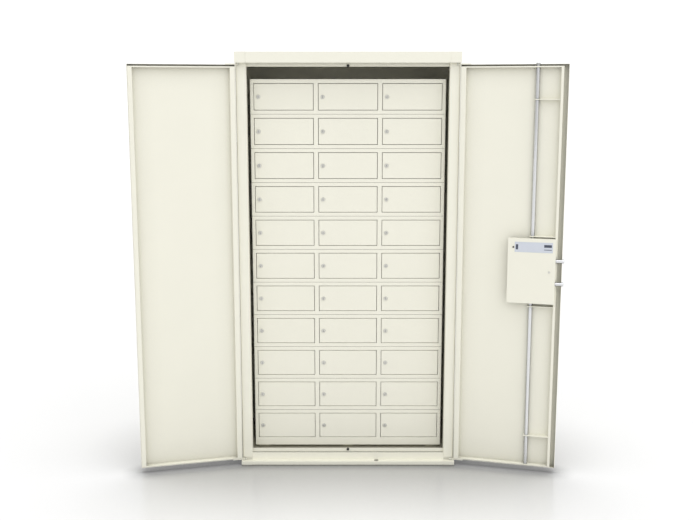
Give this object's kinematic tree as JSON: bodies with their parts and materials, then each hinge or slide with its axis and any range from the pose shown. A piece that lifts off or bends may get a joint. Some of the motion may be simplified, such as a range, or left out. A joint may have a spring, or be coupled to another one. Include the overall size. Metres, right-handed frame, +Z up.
{
  "type": "phone charging kiosk",
  "caption": "Two-door steel cabinet holding a bank of small locked charging compartments, with rod bolts and a lock box inside the right door.",
  "frame": {"origin": "on the floor, under the middle of the front posts' face", "axes": "+X to the right of someone facing the compartments, +Y towards the cabinet's back, +Z up"},
  "size_m": [1.9124, 0.6499, 1.905],
  "materials": {
    "ivory_powder_coat": "satin powder coat",
    "bright_chrome": "polished",
    "zinc_steel": "zinc plated",
    "black_plastic": "moulded",
    "grey_plastic": "extruded"
  },
  "bodies": {
    "cabinet": {"front_posts": "ivory_powder_coat", "side_panels": "ivory_powder_coat", "back_panel": "ivory_powder_coat", "roof_panel": "ivory_powder_coat", "floor_panel": "ivory_powder_coat", "top_rail": "ivory_powder_coat", "sill_and_plinth": "ivory_powder_coat", "frame_lips": "ivory_powder_coat", "corner_blocks": "ivory_powder_coat", "hinge_pins": "zinc_steel", "bank_carcass": "ivory_powder_coat", "bank_face_frame": "ivory_powder_coat", "charging_ports": "black_plastic", "cable_ducts": "grey_plastic", "power_supplies": "zinc_steel", "mains_inlet": "black_plastic"},
    "left_door": {"left_door_skin": "ivory_powder_coat", "left_door_inner_frame": "ivory_powder_coat"},
    "right_door": {"right_door_skin": "ivory_powder_coat", "right_door_inner_frame": "ivory_powder_coat", "lock_box_cover": "ivory_powder_coat", "lock_case": "zinc_steel", "rod_guides": "ivory_powder_coat"},
    "upper_rod": {"upper_bolt_rod": "bright_chrome"},
    "lower_rod": {"lower_bolt_rod": "bright_chrome"},
    "deadbolts": {"deadbolts": "bright_chrome"},
    "handle": {"door_handle": "bright_chrome"},
    "locker_r01_c1": {"locker_door_r01_c1": "ivory_powder_coat"},
    "locker_r01_c2": {"locker_door_r01_c2": "ivory_powder_coat"},
    "locker_r01_c3": {"locker_door_r01_c3": "ivory_powder_coat"},
    "locker_r02_c1": {"locker_door_r02_c1": "ivory_powder_coat"},
    "locker_r02_c2": {"locker_door_r02_c2": "ivory_powder_coat"},
    "locker_r02_c3": {"locker_door_r02_c3": "ivory_powder_coat"},
    "locker_r03_c1": {"locker_door_r03_c1": "ivory_powder_coat"},
    "locker_r03_c2": {"locker_door_r03_c2": "ivory_powder_coat"},
    "locker_r03_c3": {"locker_door_r03_c3": "ivory_powder_coat"},
    "locker_r04_c1": {"locker_door_r04_c1": "ivory_powder_coat"},
    "locker_r04_c2": {"locker_door_r04_c2": "ivory_powder_coat"},
    "locker_r04_c3": {"locker_door_r04_c3": "ivory_powder_coat"},
    "locker_r05_c1": {"locker_door_r05_c1": "ivory_powder_coat"},
    "locker_r05_c2": {"locker_door_r05_c2": "ivory_powder_coat"},
    "locker_r05_c3": {"locker_door_r05_c3": "ivory_powder_coat"},
    "locker_r06_c1": {"locker_door_r06_c1": "ivory_powder_coat"},
    "locker_r06_c2": {"locker_door_r06_c2": "ivory_powder_coat"},
    "locker_r06_c3": {"locker_door_r06_c3": "ivory_powder_coat"},
    "locker_r07_c1": {"locker_door_r07_c1": "ivory_powder_coat"},
    "locker_r07_c2": {"locker_door_r07_c2": "ivory_powder_coat"},
    "locker_r07_c3": {"locker_door_r07_c3": "ivory_powder_coat"},
    "locker_r08_c1": {"locker_door_r08_c1": "ivory_powder_coat"},
    "locker_r08_c2": {"locker_door_r08_c2": "ivory_powder_coat"},
    "locker_r08_c3": {"locker_door_r08_c3": "ivory_powder_coat"},
    "locker_r09_c1": {"locker_door_r09_c1": "ivory_powder_coat"},
    "locker_r09_c2": {"locker_door_r09_c2": "ivory_powder_coat"},
    "locker_r09_c3": {"locker_door_r09_c3": "ivory_powder_coat"},
    "locker_r10_c1": {"locker_door_r10_c1": "ivory_powder_coat"},
    "locker_r10_c2": {"locker_door_r10_c2": "ivory_powder_coat"},
    "locker_r10_c3": {"locker_door_r10_c3": "ivory_powder_coat"},
    "locker_r11_c1": {"locker_door_r11_c1": "ivory_powder_coat"},
    "locker_r11_c2": {"locker_door_r11_c2": "ivory_powder_coat"},
    "locker_r11_c3": {"locker_door_r11_c3": "ivory_powder_coat"}
  },
  "joints": [
    {"name": "cabinet_left_door_hinge", "type": "hinge", "parent": "cabinet", "child": "left_door", "pos_m": [-0.483, -0.006, 0.9], "axis": [0, 0, -1], "range_deg": [-165.7, 6]},
    {"name": "cabinet_right_door_hinge", "type": "hinge", "parent": "cabinet", "child": "right_door", "pos_m": [0.483, -0.006, 0.9], "axis": [0, 0, 1], "range_deg": [-165.7, 6]},
    {"name": "door_handle_turn", "type": "hinge", "parent": "right_door", "child": "handle", "pos_m": [0.87507, -0.08323, 0.944], "axis": [0.247, 0.969, 0], "range_deg": [0, 90]},
    {"name": "deadbolt_slide", "type": "slide", "parent": "right_door", "child": "deadbolts", "axis": [0.969, -0.247, 0], "range_m": [-0.02, 0]},
    {"name": "rod_upper_slide", "type": "slide", "parent": "right_door", "child": "upper_rod", "axis": [0, 0, 1], "range_m": [0, 0.0161]},
    {"name": "rod_lower_slide", "type": "slide", "parent": "right_door", "child": "lower_rod", "axis": [0, 0, -1], "range_m": [0, 0.0161]},
    {"name": "locker_door_r01_c1_hinge", "type": "hinge", "parent": "cabinet", "child": "locker_r01_c1", "pos_m": [-0.1597, 0.0631, 1.70905], "axis": [0, 0, 1], "range_deg": [0, 90]},
    {"name": "locker_door_r01_c2_hinge", "type": "hinge", "parent": "cabinet", "child": "locker_r01_c2", "pos_m": [0.1301, 0.0631, 1.70905], "axis": [0, 0, 1], "range_deg": [0, 90]},
    {"name": "locker_door_r01_c3_hinge", "type": "hinge", "parent": "cabinet", "child": "locker_r01_c3", "pos_m": [0.4199, 0.0631, 1.70905], "axis": [0, 0, 1], "range_deg": [0, 90]},
    {"name": "locker_door_r02_c1_hinge", "type": "hinge", "parent": "cabinet", "child": "locker_r02_c1", "pos_m": [-0.1597, 0.0631, 1.55465], "axis": [0, 0, 1], "range_deg": [0, 90]},
    {"name": "locker_door_r02_c2_hinge", "type": "hinge", "parent": "cabinet", "child": "locker_r02_c2", "pos_m": [0.1301, 0.0631, 1.55465], "axis": [0, 0, 1], "range_deg": [0, 90]},
    {"name": "locker_door_r02_c3_hinge", "type": "hinge", "parent": "cabinet", "child": "locker_r02_c3", "pos_m": [0.4199, 0.0631, 1.55465], "axis": [0, 0, 1], "range_deg": [0, 90]},
    {"name": "locker_door_r03_c1_hinge", "type": "hinge", "parent": "cabinet", "child": "locker_r03_c1", "pos_m": [-0.1597, 0.0631, 1.40025], "axis": [0, 0, 1], "range_deg": [0, 90]},
    {"name": "locker_door_r03_c2_hinge", "type": "hinge", "parent": "cabinet", "child": "locker_r03_c2", "pos_m": [0.1301, 0.0631, 1.40025], "axis": [0, 0, 1], "range_deg": [0, 90]},
    {"name": "locker_door_r03_c3_hinge", "type": "hinge", "parent": "cabinet", "child": "locker_r03_c3", "pos_m": [0.4199, 0.0631, 1.40025], "axis": [0, 0, 1], "range_deg": [0, 90]},
    {"name": "locker_door_r04_c1_hinge", "type": "hinge", "parent": "cabinet", "child": "locker_r04_c1", "pos_m": [-0.1597, 0.0631, 1.24585], "axis": [0, 0, 1], "range_deg": [0, 90]},
    {"name": "locker_door_r04_c2_hinge", "type": "hinge", "parent": "cabinet", "child": "locker_r04_c2", "pos_m": [0.1301, 0.0631, 1.24585], "axis": [0, 0, 1], "range_deg": [0, 90]},
    {"name": "locker_door_r04_c3_hinge", "type": "hinge", "parent": "cabinet", "child": "locker_r04_c3", "pos_m": [0.4199, 0.0631, 1.24585], "axis": [0, 0, 1], "range_deg": [0, 90]},
    {"name": "locker_door_r05_c1_hinge", "type": "hinge", "parent": "cabinet", "child": "locker_r05_c1", "pos_m": [-0.1597, 0.0631, 1.09145], "axis": [0, 0, 1], "range_deg": [0, 90]},
    {"name": "locker_door_r05_c2_hinge", "type": "hinge", "parent": "cabinet", "child": "locker_r05_c2", "pos_m": [0.1301, 0.0631, 1.09145], "axis": [0, 0, 1], "range_deg": [0, 90]},
    {"name": "locker_door_r05_c3_hinge", "type": "hinge", "parent": "cabinet", "child": "locker_r05_c3", "pos_m": [0.4199, 0.0631, 1.09145], "axis": [0, 0, 1], "range_deg": [0, 90]},
    {"name": "locker_door_r06_c1_hinge", "type": "hinge", "parent": "cabinet", "child": "locker_r06_c1", "pos_m": [-0.1597, 0.0631, 0.93705], "axis": [0, 0, 1], "range_deg": [0, 90]},
    {"name": "locker_door_r06_c2_hinge", "type": "hinge", "parent": "cabinet", "child": "locker_r06_c2", "pos_m": [0.1301, 0.0631, 0.93705], "axis": [0, 0, 1], "range_deg": [0, 90]},
    {"name": "locker_door_r06_c3_hinge", "type": "hinge", "parent": "cabinet", "child": "locker_r06_c3", "pos_m": [0.4199, 0.0631, 0.93705], "axis": [0, 0, 1], "range_deg": [0, 90]},
    {"name": "locker_door_r07_c1_hinge", "type": "hinge", "parent": "cabinet", "child": "locker_r07_c1", "pos_m": [-0.1597, 0.0631, 0.78265], "axis": [0, 0, 1], "range_deg": [0, 90]},
    {"name": "locker_door_r07_c2_hinge", "type": "hinge", "parent": "cabinet", "child": "locker_r07_c2", "pos_m": [0.1301, 0.0631, 0.78265], "axis": [0, 0, 1], "range_deg": [0, 90]},
    {"name": "locker_door_r07_c3_hinge", "type": "hinge", "parent": "cabinet", "child": "locker_r07_c3", "pos_m": [0.4199, 0.0631, 0.78265], "axis": [0, 0, 1], "range_deg": [0, 90]},
    {"name": "locker_door_r08_c1_hinge", "type": "hinge", "parent": "cabinet", "child": "locker_r08_c1", "pos_m": [-0.1597, 0.0631, 0.62825], "axis": [0, 0, 1], "range_deg": [0, 90]},
    {"name": "locker_door_r08_c2_hinge", "type": "hinge", "parent": "cabinet", "child": "locker_r08_c2", "pos_m": [0.1301, 0.0631, 0.62825], "axis": [0, 0, 1], "range_deg": [0, 90]},
    {"name": "locker_door_r08_c3_hinge", "type": "hinge", "parent": "cabinet", "child": "locker_r08_c3", "pos_m": [0.4199, 0.0631, 0.62825], "axis": [0, 0, 1], "range_deg": [0, 90]},
    {"name": "locker_door_r09_c1_hinge", "type": "hinge", "parent": "cabinet", "child": "locker_r09_c1", "pos_m": [-0.1597, 0.0631, 0.47385], "axis": [0, 0, 1], "range_deg": [0, 90]},
    {"name": "locker_door_r09_c2_hinge", "type": "hinge", "parent": "cabinet", "child": "locker_r09_c2", "pos_m": [0.1301, 0.0631, 0.47385], "axis": [0, 0, 1], "range_deg": [0, 90]},
    {"name": "locker_door_r09_c3_hinge", "type": "hinge", "parent": "cabinet", "child": "locker_r09_c3", "pos_m": [0.4199, 0.0631, 0.47385], "axis": [0, 0, 1], "range_deg": [0, 90]},
    {"name": "locker_door_r10_c1_hinge", "type": "hinge", "parent": "cabinet", "child": "locker_r10_c1", "pos_m": [-0.1597, 0.0631, 0.31945], "axis": [0, 0, 1], "range_deg": [0, 90]},
    {"name": "locker_door_r10_c2_hinge", "type": "hinge", "parent": "cabinet", "child": "locker_r10_c2", "pos_m": [0.1301, 0.0631, 0.31945], "axis": [0, 0, 1], "range_deg": [0, 90]},
    {"name": "locker_door_r10_c3_hinge", "type": "hinge", "parent": "cabinet", "child": "locker_r10_c3", "pos_m": [0.4199, 0.0631, 0.31945], "axis": [0, 0, 1], "range_deg": [0, 90]},
    {"name": "locker_door_r11_c1_hinge", "type": "hinge", "parent": "cabinet", "child": "locker_r11_c1", "pos_m": [-0.1597, 0.0631, 0.16505], "axis": [0, 0, 1], "range_deg": [0, 90]},
    {"name": "locker_door_r11_c2_hinge", "type": "hinge", "parent": "cabinet", "child": "locker_r11_c2", "pos_m": [0.1301, 0.0631, 0.16505], "axis": [0, 0, 1], "range_deg": [0, 90]},
    {"name": "locker_door_r11_c3_hinge", "type": "hinge", "parent": "cabinet", "child": "locker_r11_c3", "pos_m": [0.4199, 0.0631, 0.16505], "axis": [0, 0, 1], "range_deg": [0, 90]}
  ],
  "couplings": [
    {"joint": "rod_upper_slide", "follows": "door_handle_turn", "m_per_rad": 0.010186},
    {"joint": "rod_lower_slide", "follows": "door_handle_turn", "m_per_rad": 0.010186}
  ]
}
